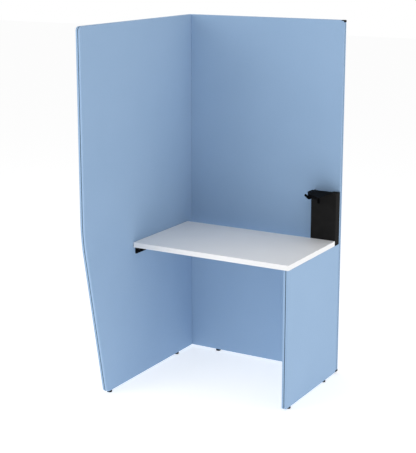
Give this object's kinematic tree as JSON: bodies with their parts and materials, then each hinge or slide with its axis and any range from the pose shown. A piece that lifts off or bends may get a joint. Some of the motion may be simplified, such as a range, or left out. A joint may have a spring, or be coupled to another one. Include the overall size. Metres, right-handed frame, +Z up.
{
  "type": "desk booth",
  "caption": "Open desk booth: tall fabric side and back panels, a low side panel under a white desk top, a cable duct with a hanger, and levelling feet.",
  "frame": {"origin": "middle of the footprint's box, on the floor", "axes": "+Z up, -Y towards the person sitting at the desk, +X towards the low side panel"},
  "size_m": [0.882, 0.994, 1.8],
  "materials": {
    "panel_fabric": "pale blue plain weave",
    "frame_wood": "plywood stained blue-grey",
    "filler_board": "paper honeycomb",
    "desk_laminate": "white melamine",
    "desk_edging": "satin white edging",
    "black_steel": "black powder coat",
    "black_lacquer": "black lacquer",
    "screw_black": "black zinc",
    "zinc_steel": "zinc plated",
    "stem_steel": "black oxide",
    "black_plastic": "matt nylon",
    "cap_plastic": "matt pale blue",
    "black_rubber": "soft coating"
  },
  "bodies": {
    "booth": {"left_panel_outer_board": "panel_fabric", "left_panel_inner_board": "panel_fabric", "left_panel_frame": "frame_wood", "left_panel_filler": "filler_board", "back_panel_front_board": "panel_fabric", "back_panel_rear_board": "panel_fabric", "back_panel_frame": "frame_wood", "back_panel_filler": "filler_board", "right_panel_outer_board": "panel_fabric", "right_panel_inner_board": "panel_fabric", "right_panel_frame": "frame_wood", "right_panel_filler": "filler_board", "end_cap_top": "black_plastic", "end_cap_bottom": "black_plastic", "corner_bolts": "zinc_steel", "corner_nut_plates": "zinc_steel", "corner_bolt_caps": "cap_plastic", "desk_top": "desk_laminate", "desk_edge_band": "desk_edging", "left_desk_bracket": "black_lacquer", "right_desk_bracket": "black_lacquer", "bracket_panel_screws": "screw_black", "bracket_desk_screws": "screw_black", "cable_duct_cover": "black_steel", "cable_duct_back_plate": "black_steel", "back_plate_screws": "screw_black", "duct_side_screws": "screw_black", "hanger_plate": "black_lacquer", "hanger_screws": "screw_black", "hanger_nuts": "zinc_steel", "hanger_finger": "black_rubber", "hanger_tip_sleeve": "black_rubber", "foot_inserts": "zinc_steel"},
    "foot_left_front": {"foot_pad_left_front": "black_plastic", "foot_stem_left_front": "stem_steel"},
    "foot_left_rear": {"foot_pad_left_rear": "black_plastic", "foot_stem_left_rear": "stem_steel"},
    "foot_back_left": {"foot_pad_back_left": "black_plastic", "foot_stem_back_left": "stem_steel"},
    "foot_back_right": {"foot_pad_back_right": "black_plastic", "foot_stem_back_right": "stem_steel"},
    "foot_right_front": {"foot_pad_right_front": "black_plastic", "foot_stem_right_front": "stem_steel"},
    "foot_right_rear": {"foot_pad_right_rear": "black_plastic", "foot_stem_right_rear": "stem_steel"}
  },
  "joints": [
    {"name": "foot_left_front_height", "type": "slide", "parent": "booth", "child": "foot_left_front", "axis": [0, 0, -1], "range_m": [0, 0.01]},
    {"name": "foot_left_rear_height", "type": "slide", "parent": "booth", "child": "foot_left_rear", "axis": [0, 0, -1], "range_m": [0, 0.01]},
    {"name": "foot_back_left_height", "type": "slide", "parent": "booth", "child": "foot_back_left", "axis": [0, 0, -1], "range_m": [0, 0.01]},
    {"name": "foot_back_right_height", "type": "slide", "parent": "booth", "child": "foot_back_right", "axis": [0, 0, -1], "range_m": [0, 0.01]},
    {"name": "foot_right_front_height", "type": "slide", "parent": "booth", "child": "foot_right_front", "axis": [0, 0, -1], "range_m": [0, 0.01]},
    {"name": "foot_right_rear_height", "type": "slide", "parent": "booth", "child": "foot_right_rear", "axis": [0, 0, -1], "range_m": [0, 0.01]}
  ]
}
